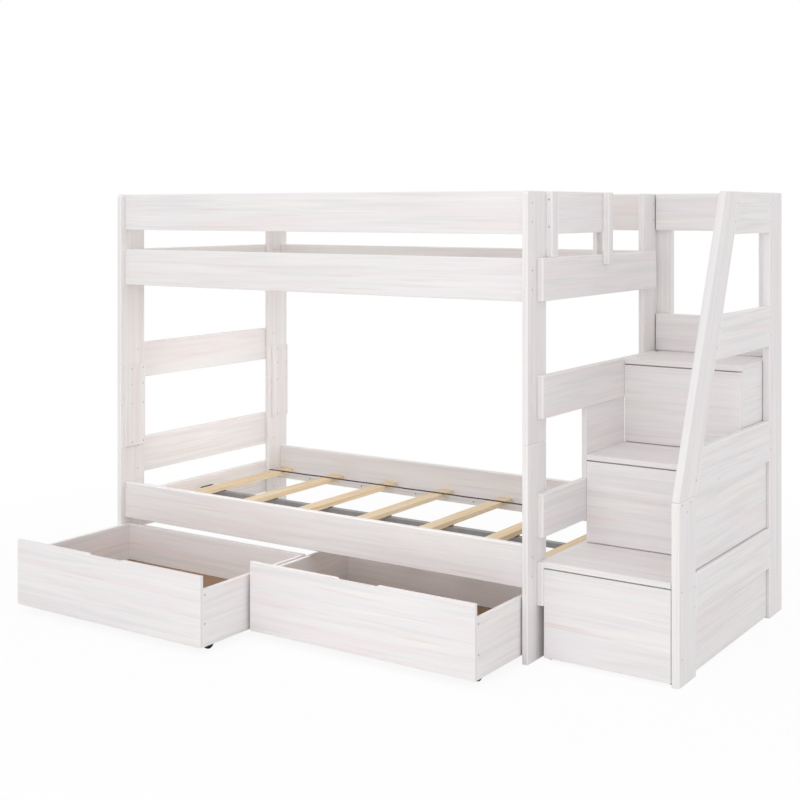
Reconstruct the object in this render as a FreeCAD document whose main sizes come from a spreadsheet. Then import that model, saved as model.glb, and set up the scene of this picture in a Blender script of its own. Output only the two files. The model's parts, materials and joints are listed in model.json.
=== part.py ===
import FreeCAD, Part
import os
import re

# Bunk bed with storage stairs at its right-hand end and two rolling drawers beneath.
# Millimetres. While the pieces are laid out, X runs along the bed from the outer face of the left
# posts, Y runs from the front edge of the posts to the back, and Z runs up from the floor. Every
# finished piece is then moved so that the origin is under the middle of the whole object.
# The drawers stand pulled out, one further than the other.

# Driving dimensions: name, size, what it is
SIZES = [
    ("bed_length", 1970, "over the outer faces of the left and right posts"),
    ("bed_depth", 1120, "over the front and back edges of the posts"),
    ("bed_height", 1626, "floor to the top of the posts"),
    ("post_thick", 22, "post, along the bed"),
    ("post_width", 140, "post, front to back"),
    ("lower_post_height", 750, "floor to the joint between lower and upper posts"),
    ("edge_round", 4, "softened edges of the solid boards"),
    ("fine_round", 1.5, "softened edges of thin panels"),
    ("post_round", 16, "top corner of an upper post, at the outside of the bed"),
    ("board_thick", 25, "rails, end boards and boards of the back wall"),
    ("board_width", 150, "height of those boards"),
    ("rail_recess", 23, "side rail behind the front edge of the posts"),
    ("lower_rail_height", 255, "floor to the underside of the lower side rails"),
    ("rail_gap", 83, "between an upper side rail and the guard rail above it"),
    ("low_board_height", 190, "floor to the lowest end board"),
    ("foot_board_height", 426, "floor to the second end board"),
    ("head_board_height", 836, "floor to the third end board"),
    ("end_board_inset", 67, "end of an end board in from the edge of the posts"),
    ("plate_thick", 9, "splice plate"),
    ("plate_inset", 20, "splice plate in from the front edge of its post"),
    ("plate_margin", 4, "splice plate in from the back edge of its post"),
    ("plate_below", 197, "splice plate below the post joint"),
    ("plate_above", 150, "splice plate above the post joint"),
    ("slat_count", 7, "slats under each mattress"),
    ("slat_end_gap", 21, "first and last slat to the posts"),
    ("slat_width", 60, "slat, along the bed"),
    ("slat_thick", 18, "slat"),
    ("slat_round", 8, "rounded corners at a slat's ends"),
    ("slat_fit", 0.5, "end of a slat to the rail"),
    ("cleat_width", 30, "cleat that carries the slats, front to back"),
    ("cleat_rise", 29, "cleat, bottom to top"),
    ("beam_width", 30, "centre beam, front to back"),
    ("beam_rise", 20, "centre beam, bottom to top"),
    ("beam_wall", 2, "wall of the centre beam's tube"),
    ("beam_pad", 2.5, "pad between the centre beam and a slat"),
    ("bracket_width", 82, "beam bracket, front to back"),
    ("bracket_rise", 38, "beam bracket, bottom to top"),
    ("bracket_thick", 3, "beam bracket"),
    ("bracket_drop", 5, "beam bracket below the beam"),
    ("strap_width", 22, "webbing that keeps the slats apart"),
    ("strap_thick", 1, "webbing"),
    ("strap_inset", 135, "middle of the webbing in from the edge of the posts"),
    ("strap_end", 26, "end of the webbing in from the outer face of the posts"),
    ("stile_width", 42, "stile of the entry guard, front to back, beyond the post"),
    ("stile_lap", 5, "stile of the entry guard over the outer face of the post"),
    ("guard_reach", 403, "board of the entry guard, front to back"),
    ("batten_width", 40, "outer clamping batten of the entry guard, front to back"),
    ("batten_thick", 25, "outer clamping batten"),
    ("inner_batten_width", 56, "inner clamping batten, front to back"),
    ("inner_batten_thick", 16, "inner clamping batten"),
    ("batten_drop", 37, "clamping batten below the top of the end board"),
    ("stair_gap", 0.5, "between the end boards and the stairs"),
    ("stair_width", 463.5, "stairs, left to right"),
    ("side_gap", 1.5, "between the stair boxes and the side frame"),
    ("stair_front", 71, "front of the lowest step behind the front edge of the posts"),
    ("step_going", 335, "from riser to riser"),
    ("first_step", 342, "floor to the lowest tread"),
    ("step_rise", 321, "from tread to tread"),
    ("lid_thick", 19, "tread, which is the lid of its box"),
    ("riser_thick", 20, "riser"),
    ("panel_thick", 16, "side panel of a stair box"),
    ("floor_thick", 12, "floor of a stair box"),
    ("back_thick", 6, "back panel of the tallest stair box"),
    ("stair_foot", 13, "floor to the underside of the stair boxes"),
    ("glide_length", 30, "glide under a side panel"),
    ("glide_inset", 12, "glide in from the ends of its panel"),
    ("lid_front_gap", 5, "under a tread's front edge, above the riser"),
    ("lid_back_gap", 3.5, "behind a tread, to the next riser"),
    ("cross_rail", 84, "rail behind the top of a riser, bottom to top"),
    ("seam", 3, "shadow gap round an inset panel and at the foot of a board that meets a tread"),
    ("seam_depth", 10, "that gap, in from the board's face"),
    ("hinge_inset", 13, "hinge axis in from a tread's back edge"),
    ("lug_thick", 4, "hinge lug"),
    ("lug_radius", 6, "hinge lug, round its pin"),
    ("lug_reach", 40, "hinge lug below the tread"),
    ("lug_pin", 2.5, "radius of the hinge pin"),
    ("lug_bite", 12, "hinge pin into the tread beyond its lug"),
    ("lug_gap", 0.5, "hinge lug to the walls of its slot"),
    ("pin_fit", 0.05, "running clearance round a pin or axle"),
    ("filler_thick", 19, "filler panel between two end boards"),
    ("wall_post_gap", 3.5, "left end of the boards of the back wall to the outer face of the rear post"),
    ("wall_lap", 20, "left batten of the back wall behind the rear post"),
    ("wall_low_height", 300, "floor to the lowest board of the back wall"),
    ("wall_middle_height", 981, "floor to the middle board of the back wall"),
    ("wall_middle_width", 155, "middle board of the back wall, bottom to top"),
    ("wall_batten", 65, "batten of the back wall in from the outer face of the rear post or the side frame"),
    ("side_thick", 28, "posts and handrail of the side frame"),
    ("side_front", 72, "front of the side frame behind the front edge of the posts"),
    ("side_post_width", 148, "front post of the side frame"),
    ("side_post_height", 604, "floor to the foot of the handrail"),
    ("rear_post_width", 144, "rear post of the side frame"),
    ("handrail_cut", 150, "handrail, measured level, front to back"),
    ("handrail_top", 510, "top front corner of the handrail"),
    ("side_board_width", 153, "boards of the side frame, bottom to top"),
    ("side_board_low", 192, "floor to the first board of the side frame"),
    ("side_board_second", 602, "floor to the second board"),
    ("side_board_third", 1039, "floor to the third board"),
    ("side_panel_recess", 13, "panels between the boards behind the outer face of the side frame"),
    ("side_panel_foot", 5, "floor to the underside of the lower panel"),
    ("screw_radius", 3.5, "head of a wood screw"),
    ("screw_fit", 0.1, "clearance round a wood screw and at its point"),
    ("screw_sink", 0.5, "head of a wood screw below the surface"),
    ("screw_grip", 30, "screw into the end of a board"),
    ("screw_bite", 0.6, "part of the last piece's thickness that a screw through its face enters"),
    ("screw_margin", 42, "screw from the edge of a rail"),
    ("end_screw_margin", 25, "screw from the edge of an end board"),
    ("end_screw_inset", 100, "screw of an end board from the edge of the posts"),
    ("plate_screw_first", 38, "first row of screws from a splice plate's front edge"),
    ("plate_screw_second", 12, "second row of screws from a splice plate's back edge"),
    ("plate_screw_top", 18, "highest screws from a splice plate's top"),
    ("plate_screw_over", 65, "next screws above the post joint"),
    ("plate_screw_under", 17, "next screws below the post joint"),
    ("plate_screw_foot", 15, "lowest screws from a splice plate's underside"),
    ("guard_screw_high", 30, "upper screw of the entry guard's stile from the top"),
    ("guard_screw_low", 24, "lower screw of that stile above the underside of the guard's board"),
    ("batten_screw_high", 40, "highest screw of a clamping batten from the top"),
    ("batten_screw_middle", 110, "next screw of a clamping batten from the top"),
    ("slat_screw_inset", 18, "screw from the end of a slat"),
    ("dowel_depth", 15, "connector in the side frame"),
    ("dowel_inset", 11, "connector from the edge of its post"),
    ("dowel_low", 44, "lower connector above the underside of its board"),
    ("dowel_high", 110, "upper connector above the underside of its board"),
    ("foot_dowel_first", 30, "first connector at the front post's top from its front edge"),
    ("foot_dowel_second", 69, "second connector at the front post's top from its front edge"),
    ("foot_dowel_third", 100, "third connector at the front post's top from its front edge"),
    ("foot_dowel_drop", 39, "second connector below the front post's top"),
    ("bolt_inset", 24, "stair bolts from the front post's front edge"),
    ("bolt_low", 90, "lower stair bolt above the floor"),
    ("bolt_high", 310, "upper stair bolt above the floor"),
    ("board_dowel_reach", 211, "connector in the second board behind the front post"),
    ("board_dowel_low", 25, "that connector above the underside of its board"),
    ("handrail_dowel", 54, "connector at the handrail's foot above the second board's underside"),
    ("drawer_depth", 600, "drawer, front to back"),
    ("drawer_gap", 6.5, "drawer to the posts"),
    ("drawer_between", 13, "between the two drawers"),
    ("drawer_rail_gap", 2, "front of a shut drawer to the side rail behind it"),
    ("drawer_rail_clear", 25, "drawer box below the side rail"),
    ("left_pull", 561, "left drawer, pulled out from shut"),
    ("right_pull", 310, "right drawer, pulled out from shut"),
    ("front_thick", 16, "drawer front"),
    ("front_rise", 251, "drawer front, bottom to top"),
    ("front_foot", 29, "floor to the underside of a drawer front"),
    ("notch_width", 178, "finger notch in a drawer front"),
    ("notch_depth", 6, "finger notch"),
    ("notch_slope", 8, "sloped end of the finger notch"),
    ("drawer_board", 16, "sides and ends of a drawer box"),
    ("drawer_box_foot", 28, "floor to the underside of a drawer box"),
    ("drawer_floor_height", 73, "floor to the underside of a drawer's bottom panel"),
    ("drawer_floor_thick", 5, "bottom panel of a drawer"),
    ("groove_depth", 6, "groove that holds the bottom panel"),
    ("groove_fit", 0.2, "clearance in that groove"),
    ("wheel_radius", 25, "castor wheel"),
    ("wheel_width", 14, "castor wheel"),
    ("wheel_round", 3, "rounded tread of a wheel"),
    ("wheel_inset", 38, "middle of a wheel in from the end of its drawer"),
    ("wheel_setback", 85, "axle from the front and back of its drawer"),
    ("axle_radius", 3, "castor axle"),
    ("fork_thick", 2.5, "castor fork"),
    ("fork_gap", 0.6, "wheel to its fork"),
    ("fork_width", 24, "castor fork, front to back"),
    ("fork_top", 2, "top plate of a castor"),
    ("fork_plate", 50, "top plate of a castor, front to back"),
    ("fork_flange", 8, "top plate of a castor beyond its fork"),
]
SIZE = {name: value for name, value, note in SIZES}

doc = FreeCAD.newDocument("bunk_bed")
sheet = doc.addObject("Spreadsheet::Sheet", "sizes")
for row, (name, value, note) in enumerate(SIZES, start=1):
    sheet.set(f"A{row}", name)
    sheet.set(f"B{row}", str(value))
    sheet.set(f"C{row}", note)
    sheet.setAlias(f"B{row}", name)
doc.recompute()

# Places worked out from the driving dimensions
BETWEEN_POSTS = "(bed_length - 2 * post_thick)"
RAIL_BACK = "bed_depth - rail_recess - board_thick"
GUARD_HEIGHT = "(bed_height - board_width)"
UPPER_RAIL_HEIGHT = "(bed_height - 2 * board_width - rail_gap)"
END_OUTER = "bed_length + board_thick"
STAIR_LEFT = f"({END_OUTER} + stair_gap)"
STAIR_RIGHT = f"({STAIR_LEFT} + stair_width)"
SIDE_INNER = f"({STAIR_RIGHT} + side_gap)"
SIDE_OUTER = f"({SIDE_INNER} + side_thick)"
WALL_LEFT = "(bed_length + wall_post_gap)"
WALL_FRONT = "(bed_depth - board_thick)"
REAR_POST_FRONT = "(bed_depth - rear_post_width)"
TOP_SIDE_BOARD = "(bed_height - side_board_width)"
ORIGIN_X = f"-({SIDE_OUTER} - board_thick) / 2"

SLAT_PITCH = "(bed_length - 2 * (post_thick + slat_end_gap) - slat_width) / (slat_count - 1)"
PLATE_WIDTH = "(post_width - plate_inset - plate_margin)"
DRAWER_SHUT = "(rail_recess - front_thick - drawer_rail_gap)"
ORIGIN_Y = f"-(bed_depth + board_thick + {DRAWER_SHUT} - max(left_pull; right_pull)) / 2"
DRAWER_LENGTH = "((bed_length - 2 * (post_thick + drawer_gap) - drawer_between) / 2)"
DRAWER_BOX_RISE = "(lower_rail_height - drawer_box_foot - drawer_rail_clear)"

BOX_EDGES = range(1, 13)
OUTER_TOP_EDGES = {"front": [10], "rear": [12]}
holes = {}
nodes = []


def on_sheet(formula):
    """The formula with each size looked up in the sheet."""
    return re.sub(r"[a-z_]+", lambda word: "sizes." + word[0] if word[0] in SIZE else word[0], str(formula))


def bind(piece, **formulas):
    """Ties properties of a piece to formulas; x, y and z are its place."""
    for name, formula in formulas.items():
        path = f"Placement.Base.{name}" if name in ("x", "y", "z") else name
        piece.setExpression(path, on_sheet(formula))
    return piece


def box(x, y, z, length, width, height):
    piece = doc.addObject("Part::Box", "box")
    return bind(piece, x=x, y=y, z=z, Length=length, Width=width, Height=height)


def cylinder(x, y, z, direction, radius, height):
    """A cylinder that starts at a point and runs along a direction."""
    piece = doc.addObject("Part::Cylinder", "cylinder")
    turn = FreeCAD.Rotation(FreeCAD.Vector(0, 0, 1), FreeCAD.Vector(*direction))
    piece.Placement = FreeCAD.Placement(FreeCAD.Vector(), turn)
    return bind(piece, x=x, y=y, z=z, Radius=radius, Height=height)


def slanted(x, thick, low, high, low_edges, high_edges):
    """A board in the plane of the side frame with straight front and back edges, each of which may
    lean: its front and back at the lower and at the upper level."""
    piece = doc.addObject("Part::Wedge", "wedge")
    turn = FreeCAD.Rotation(FreeCAD.Vector(1, 1, 1), 120)
    piece.Placement = FreeCAD.Placement(FreeCAD.Vector(), turn)
    return bind(piece, Xmin=low_edges[0], Xmax=low_edges[1], X2min=high_edges[0], X2max=high_edges[1],
                Ymin=low, Ymax=high, Zmin=x, Z2min=x, Zmax=f"{x} + {thick}", Z2max=f"{x} + {thick}")


def soften(base, radius, edges=BOX_EDGES, rounder=()):
    """The base with softened edges; those named as rounder get the radius of a post's top corner."""
    piece = doc.addObject("Part::Fillet", "softened")
    piece.Base = base
    radii = {edge: SIZE["post_round"] if edge in rounder else radius for edge in edges}
    piece.Edges = [(edge, size, size) for edge, size in radii.items()]
    return piece


def board(x, y, z, length, width, height, rounder=()):
    return soften(box(x, y, z, length, width, height), SIZE["edge_round"], rounder=rounder)


def panel(x, y, z, length, width, height):
    return soften(box(x, y, z, length, width, height), SIZE["fine_round"])


def compound(pieces):
    piece = doc.addObject("Part::Compound", "group")
    piece.Links = pieces
    return piece


def cut(base, tools):
    """The base less its tools, which don't touch each other."""
    piece = doc.addObject("Part::Cut", "cut")
    piece.Base = base
    piece.Tool = tools[0] if len(tools) == 1 else compound(tools)
    return piece


def fuse(pieces):
    piece = doc.addObject("Part::MultiFuse", "fused")
    piece.Shapes = pieces
    return piece


def node(label, pieces):
    """Names a finished sub-part and moves it to the object's own origin."""
    piece = compound(pieces)
    piece.Label = label
    bind(piece, x=ORIGIN_X, y=ORIGIN_Y)
    nodes.append(piece)


def drilled(name, piece):
    """The piece with the holes of the screws that go into it."""
    return cut(piece, holes[name]) if holes.get(name) else piece


def slat_middle(count):
    """The middle of a slat along the bed, counted from the left."""
    return f"(post_thick + slat_end_gap + slat_width / 2 + {count} * {SLAT_PITCH})"


screws = {"frame_screws": [], "plate_screws": [], "slat_screws": [], "side_connectors": []}


def screw(group, x, y, z, direction, depth, into):
    """A wood screw from a point on a surface, and its hole in each piece that it enters."""
    sink = [f"{start} + ({step}) * screw_sink" for start, step in zip((x, y, z), direction)]
    screws[group].append(cylinder(*sink, direction, "screw_radius", f"{depth} - screw_sink - screw_fit"))
    for name in into:
        hole = cylinder(x, y, z, direction, "screw_radius + screw_fit", depth)
        holes.setdefault(name, []).append(hole)


# ---- Screws of the bed frame ----
END_X = {"left": "0", "right": "bed_length"}
INWARD = {"left": (1, 0, 0), "right": (-1, 0, 0)}
OUTWARD = {"left": (-1, 0, 0), "right": (1, 0, 0)}
POST_INNER = {"left": "post_thick", "right": "(bed_length - post_thick)"}
POST_Y = {"front": "0", "rear": "(bed_depth - post_width)"}
RAIL_Y = {"front": "rail_recess", "rear": f"({RAIL_BACK})"}
RAILS = {"guard_rail": (GUARD_HEIGHT, "upper"), "upper_side_rail": (UPPER_RAIL_HEIGHT, "upper"),
         "lower_side_rail": ("lower_rail_height", "lower")}
END_BOARDS = {"top": (GUARD_HEIGHT, "upper"), "upper": (UPPER_RAIL_HEIGHT, "upper"),
              "head": ("head_board_height", "upper"), "foot": ("foot_board_height", "lower"),
              "low": ("low_board_height", "lower")}
END_BOARD_NAMES = {"left": ["top", "upper", "head", "foot", "low"], "right": ["upper", "head", "foot", "low"]}

for row in ("front", "rear"):
    for end in ("left", "right"):
        for rail, (height, tier) in RAILS.items():
            for margin in ("screw_margin", "board_width - screw_margin"):
                screw("frame_screws", END_X[end], f"{RAIL_Y[row]} + board_thick / 2", f"{height} + {margin}",
                      INWARD[end], "post_thick + screw_grip", [f"post_{row}_{end}_{tier}", f"{rail}_{row}"])
        edge = "end_screw_inset" if row == "front" else "bed_depth - end_screw_inset"
        for name in END_BOARD_NAMES[end]:
            height, tier = END_BOARDS[name]
            for margin in ("end_screw_margin", "board_width - end_screw_margin"):
                screw("frame_screws", POST_INNER[end], edge, f"{height} + {margin}", OUTWARD[end],
                      "post_thick + board_thick * screw_bite",
                      [f"post_{row}_{end}_{tier}", f"end_{name}_{end}"])

# Splice plates: two rows of screws into each of the two posts that a plate joins
PLATE_Y = {"front": "plate_inset", "rear": "(bed_depth - post_width + plate_inset)"}
PLATE_SCREWS = [("lower_post_height + plate_above - plate_screw_top", "upper"),
                ("lower_post_height + plate_screw_over", "upper"),
                ("lower_post_height - plate_screw_under", "lower"),
                ("lower_post_height - plate_below + plate_screw_foot", "lower")]
plates = []
for row in ("front", "rear"):
    for end in ("left", "right"):
        start = f"{POST_INNER[end]} + ({INWARD[end][0]}) * plate_thick"
        for offset in ("plate_screw_first", f"{PLATE_WIDTH} - plate_screw_second"):
            for height, tier in PLATE_SCREWS:
                screw("plate_screws", start, f"{PLATE_Y[row]} + {offset}", height, OUTWARD[end],
                      "plate_thick + post_thick * screw_bite",
                      [f"plate_{row}_{end}", f"post_{row}_{end}_{tier}"])
        left_face = POST_INNER[end] if end == "left" else start
        plate = panel(left_face, PLATE_Y[row], "lower_post_height - plate_below",
                      "plate_thick", PLATE_WIDTH, "plate_above + plate_below")
        plates.append(drilled(f"plate_{row}_{end}", plate))
node("splice_plates", plates)

# ---- Posts, in two tiers ----
TIERS = {"lower": ("0", "lower_post_height"),
         "upper": ("lower_post_height", "bed_height - lower_post_height")}
for row in ("front", "rear"):
    for end in ("left", "right"):
        for tier, (height, rise) in TIERS.items():
            left_face = "0" if end == "left" else POST_INNER["right"]
            top_corner = OUTER_TOP_EDGES[row] if tier == "upper" else []
            post = board(left_face, POST_Y[row], height, "post_thick", "post_width", rise, top_corner)
            name = f"post_{row}_{end}_{tier}"
            node(name, [drilled(name, post)])

# ---- Guard rails and side rails between the posts; cleats along the side rails ----
cleats = []
for row in ("front", "rear"):
    for rail, (height, tier) in RAILS.items():
        name = f"{rail}_{row}"
        if rail != "guard_rail":
            cleat_y = "rail_recess + board_thick" if row == "front" else f"{RAIL_BACK} - cleat_width"
            cleat_face = f"{cleat_y} + cleat_width" if row == "front" else cleat_y
            into_rail = (0, -1, 0) if row == "front" else (0, 1, 0)
            cleat_name = f"cleat_{rail}_{row}"
            for count in range(SIZE["slat_count"]):
                along = slat_middle(count)
                slat_end = ("rail_recess + board_thick + slat_screw_inset" if row == "front"
                            else f"{RAIL_BACK} - slat_screw_inset")
                screw("slat_screws", along, slat_end, f"{height} + cleat_rise + slat_thick", (0, 0, -1),
                      "slat_thick + cleat_rise * screw_bite", [f"slat_{rail}_{count}", cleat_name])
                if count < SIZE["slat_count"] - 1:
                    screw("slat_screws", f"{along} + {SLAT_PITCH} / 2", cleat_face,
                          f"{height} + cleat_rise / 2", into_rail,
                          "cleat_width + board_thick * screw_bite", [cleat_name, name])
            cleat = panel("post_thick", cleat_y, height, BETWEEN_POSTS, "cleat_width", "cleat_rise")
            cleats.append(drilled(cleat_name, cleat))
        plain = board("post_thick", RAIL_Y[row], height, BETWEEN_POSTS, "board_thick", "board_width")
        node(name, [drilled(name, plain)])
node("slat_cleats", cleats)

# ---- Slats, centre beam and webbing of each bunk ----
SLAT_END_EDGES = (1, 3, 5, 7)
beams = []
brackets = []
pads = []
straps = []
for bunk, rail in (("lower", "lower_side_rail"), ("upper", "upper_side_rail")):
    slat_under = f"{RAILS[rail][0]} + cleat_rise"
    beam_under = f"{slat_under} - beam_pad - beam_rise"
    beam_front = "(bed_depth - beam_width) / 2"
    slats = []
    for count in range(SIZE["slat_count"]):
        left_edge = f"({slat_middle(count)} - slat_width / 2)"
        slat = box(left_edge, "rail_recess + board_thick + slat_fit", slat_under, "slat_width",
                   "bed_depth - 2 * (rail_recess + board_thick + slat_fit)", "slat_thick")
        slat = soften(slat, SIZE["slat_round"], SLAT_END_EDGES)
        slats.append(drilled(f"slat_{rail}_{count}", slat))
        pads.append(box(f"{left_edge} - beam_pad", beam_front, f"{slat_under} - beam_pad",
                        "slat_width + 2 * beam_pad", "beam_width", "beam_pad"))
    node(f"slats_{bunk}", slats)
    beam_length = "bed_length - 2 * bracket_thick"
    tube = box("bracket_thick", beam_front, beam_under, beam_length, "beam_width", "beam_rise")
    bore = box("bracket_thick", f"{beam_front} + beam_wall", f"{beam_under} + beam_wall",
               beam_length, "beam_width - 2 * beam_wall", "beam_rise - 2 * beam_wall")
    beams.append(cut(tube, [bore]))
    for face in ("0", "bed_length - bracket_thick"):
        brackets.append(box(face, "(bed_depth - bracket_width) / 2", f"{beam_under} - bracket_drop",
                            "bracket_thick", "bracket_width", "bracket_rise"))
    for middle in ("strap_inset", "bed_depth - strap_inset"):
        straps.append(box("strap_end", f"{middle} - strap_width / 2", f"{slat_under} + slat_thick",
                          "bed_length - 2 * strap_end", "strap_width", "strap_thick"))
node("centre_beams", beams)
node("beam_brackets", brackets)
node("beam_pads", pads)
node("slat_straps", straps)

# ---- End boards on the outer faces of the posts ----
for end in ("left", "right"):
    left_face = "-board_thick" if end == "left" else "bed_length"
    if end == "right":
        # The entry guard stands on the highest right-hand end board and is clamped by two battens
        stile_y = "(post_width - stile_lap)"
        guard_y = "(post_width + stile_width)"
        batten_y = f"{guard_y} + guard_reach - batten_width"
        batten_low = f"({UPPER_RAIL_HEIGHT} + board_width - batten_drop)"
        for height in ("bed_height - guard_screw_high", f"{GUARD_HEIGHT} + guard_screw_low"):
            screw("frame_screws", "bed_length + board_thick / 2", stile_y, height, (0, 1, 0),
                  "stile_lap + stile_width + screw_grip", ["guard_stile", "guard_board"])
        for height, held in ((f"{batten_low} + batten_drop / 2", "end_upper_right"),
                             ("bed_height - batten_screw_middle", "guard_board"),
                             ("bed_height - batten_screw_high", "guard_board")):
            screw("frame_screws", "bed_length - inner_batten_thick", f"{batten_y} + batten_width / 2",
                  height, (1, 0, 0), "inner_batten_thick + board_thick + batten_thick * screw_bite",
                  ["batten_inner", held, "batten_outer"])
    boards = []
    for name in END_BOARD_NAMES[end]:
        plain = board(left_face, "end_board_inset", END_BOARDS[name][0],
                      "board_thick", "bed_depth - 2 * end_board_inset", "board_width")
        boards.append(drilled(f"end_{name}_{end}", plain))
    node(f"end_boards_{end}", boards)
end_top = f"({UPPER_RAIL_HEIGHT} + board_width)"
stile = board("bed_length", stile_y, end_top, "board_thick", "stile_lap + stile_width",
              f"bed_height - {end_top}")
battens = [drilled("guard_stile", stile)]
for name, left_face, thick, width in (
        ("batten_inner", "bed_length - inner_batten_thick", "inner_batten_thick", "inner_batten_width"),
        ("batten_outer", END_OUTER, "batten_thick", "batten_width")):
    batten = board(left_face, batten_y, batten_low, thick, width, f"bed_height - {batten_low}")
    battens.append(drilled(name, batten))
node("guard_battens", battens)
guard = board("bed_length", guard_y, GUARD_HEIGHT, "board_thick", "guard_reach", "board_width")
node("guard_board_right", [drilled("guard_board", guard)])
node("filler_panel", [panel(f"{END_OUTER} - filler_thick", "stair_front + step_going",
                            "foot_board_height + board_width", "filler_thick", "step_going",
                            "head_board_height - foot_board_height - board_width")])

# ---- Stairs: three boxes, one behind the other, each with a riser and a lid to step on ----
STEPS = (1, 2, 3)
STEP_FRONT = {step: f"(stair_front + {step - 1} * step_going)" for step in STEPS}
STEP_FRONT[4] = WALL_FRONT
LID_TOP = {step: f"(first_step + {step - 1} * step_rise)" for step in STEPS}
SWING = "sqrt(hinge_inset ^ 2 + (lid_thick / 2) ^ 2)"


def foot_gap(x, y, tread, length, below):
    """The shadow gap at the foot of a board that meets a tread, open for some way below its top."""
    return box(f"{x} - 1", f"{y} - 1", f"{tread} - {below}", f"{length} + 2", "seam_depth + 1",
               f"seam + {below}")


lugs = []
glides = []
for step in STEPS:
    front = STEP_FRONT[step]
    back = STEP_FRONT[step + 1]
    lid_under = f"({LID_TOP[step]} - lid_thick)"
    behind_riser = f"({front} + riser_thick)"
    axis_y = f"({back} - lid_back_gap - hinge_inset)"
    axis_z = f"({LID_TOP[step]} - lid_thick / 2)"
    inside = f"({STAIR_LEFT} + panel_thick)"
    inside_width = "stair_width - 2 * panel_thick"
    closed_back = f"{back} - back_thick" if step == 3 else back

    swing_notch = box(f"{STAIR_LEFT} - 1", f"{axis_y} - {SWING} - 1", f"{axis_z} - {SWING} - 1",
                      "stair_width + 2", f"{back} - {axis_y} + {SWING} + 1", f"{SWING} + 2")
    carcass = []
    for left_face in (STAIR_LEFT, f"{STAIR_RIGHT} - panel_thick"):
        side = panel(left_face, behind_riser, "stair_foot", "panel_thick", f"{back} - {behind_riser}",
                     f"{lid_under} - stair_foot")
        carcass.append(cut(side, [swing_notch]))
    carcass.append(box(inside, behind_riser, f"{lid_under} - cross_rail", inside_width,
                       "panel_thick", "cross_rail"))
    carcass.append(box(inside, behind_riser, "stair_foot", inside_width, f"{closed_back} - {behind_riser}",
                       "floor_thick"))
    if step == 3:
        carcass.append(box(inside, closed_back, "stair_foot", inside_width, "back_thick",
                           f"{axis_z} - {SWING} - 1 - stair_foot"))
    node(f"stair_box_{step}", carcass)
    riser = panel(STAIR_LEFT, front, "stair_foot", "stair_width", "riser_thick",
                  f"{lid_under} - lid_front_gap - stair_foot")
    if step > 1:
        riser = cut(riser, [foot_gap(STAIR_LEFT, front, LID_TOP[step - 1], "stair_width", "0")])
    node(f"stair_riser_{step}", [riser])

    # The lid turns on pins through two lugs, which reach up into slots in its underside
    lid = panel(STAIR_LEFT, front, lid_under, "stair_width", f"{back} - lid_back_gap - {front}", "lid_thick")
    slots = []
    for left_face, outward in ((inside, -1), (f"({STAIR_RIGHT} - panel_thick - lug_thick)", 1)):
        slot = box(f"{left_face} - lug_gap", f"{axis_y} - lug_radius - lug_gap", f"{lid_under} - 1",
                   "lug_thick + 2 * lug_gap", f"{back} - {axis_y} + lug_radius",
                   "lid_thick / 2 + 1 + lug_radius + lug_gap")
        pin_start = left_face if outward > 0 else f"{left_face} + lug_thick"
        direction = (outward, 0, 0)
        bore = cylinder(pin_start, axis_y, axis_z, direction, "lug_pin + pin_fit",
                        "lug_thick + lug_bite + lug_gap")
        slots.append(fuse([slot, bore]))
        foot = box(left_face, f"{axis_y} - lug_radius", f"{lid_under} - lug_reach",
                   "lug_thick", "2 * lug_radius", "lug_reach + lid_thick / 2")
        crown = cylinder(left_face, axis_y, axis_z, (1, 0, 0), "lug_radius", "lug_thick")
        pin = cylinder(pin_start, axis_y, axis_z, direction, "lug_pin", "lug_thick + lug_bite")
        lugs.append(fuse([foot, crown, pin]))
    node(f"stair_lid_{step}", [cut(lid, slots)])

    for left_face in (f"{STAIR_LEFT} + 1", f"{STAIR_RIGHT} - panel_thick + 1"):
        for glide_y in (f"{behind_riser} + glide_inset", f"{back} - glide_inset - glide_length"):
            glides.append(box(left_face, glide_y, "0", "panel_thick - 2", "glide_length", "stair_foot"))
node("lid_hinge_lugs", lugs)
node("stair_glides", glides)

# ---- Back wall of the stairs: three boards on two battens that stand on the floor behind them ----
wall = []
wall_length = f"({SIDE_INNER} - {WALL_LEFT})"
for height, width in (("wall_low_height", "board_width"), ("wall_middle_height", "wall_middle_width"),
                      (GUARD_HEIGHT, "board_width")):
    level = board(WALL_LEFT, WALL_FRONT, height, wall_length, "board_thick", width)
    if height == "wall_middle_height":
        level = cut(level, [foot_gap(WALL_LEFT, WALL_FRONT, LID_TOP[3], wall_length,
                                     f"({LID_TOP[3]} - wall_middle_height + 1)")])
    wall.append(level)
for left_face, width in (("bed_length - wall_lap", "wall_batten + wall_lap"),
                         (f"{SIDE_INNER} - wall_batten", "wall_batten")):
    wall.append(board(left_face, "bed_depth", "0", width, "board_thick", "bed_height"))
node("stair_back_wall", wall)

# ---- Side frame: front post, leaning handrail, rear post, four boards and two panels between ----
LEAN = "((handrail_top - side_front) / (bed_height - side_post_height))"
SIDE_BOARDS = {"first": "side_board_low", "second": "side_board_second", "third": "side_board_third",
               "top": TOP_SIDE_BOARD}


def handrail_back(height):
    """The back edge of the handrail at a height."""
    return f"side_front + handrail_cut + ({height} - side_post_height) * {LEAN}"


def connector(y, z, into):
    screw("side_connectors", SIDE_OUTER, y, z, (-1, 0, 0), "dowel_depth", into)


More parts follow.
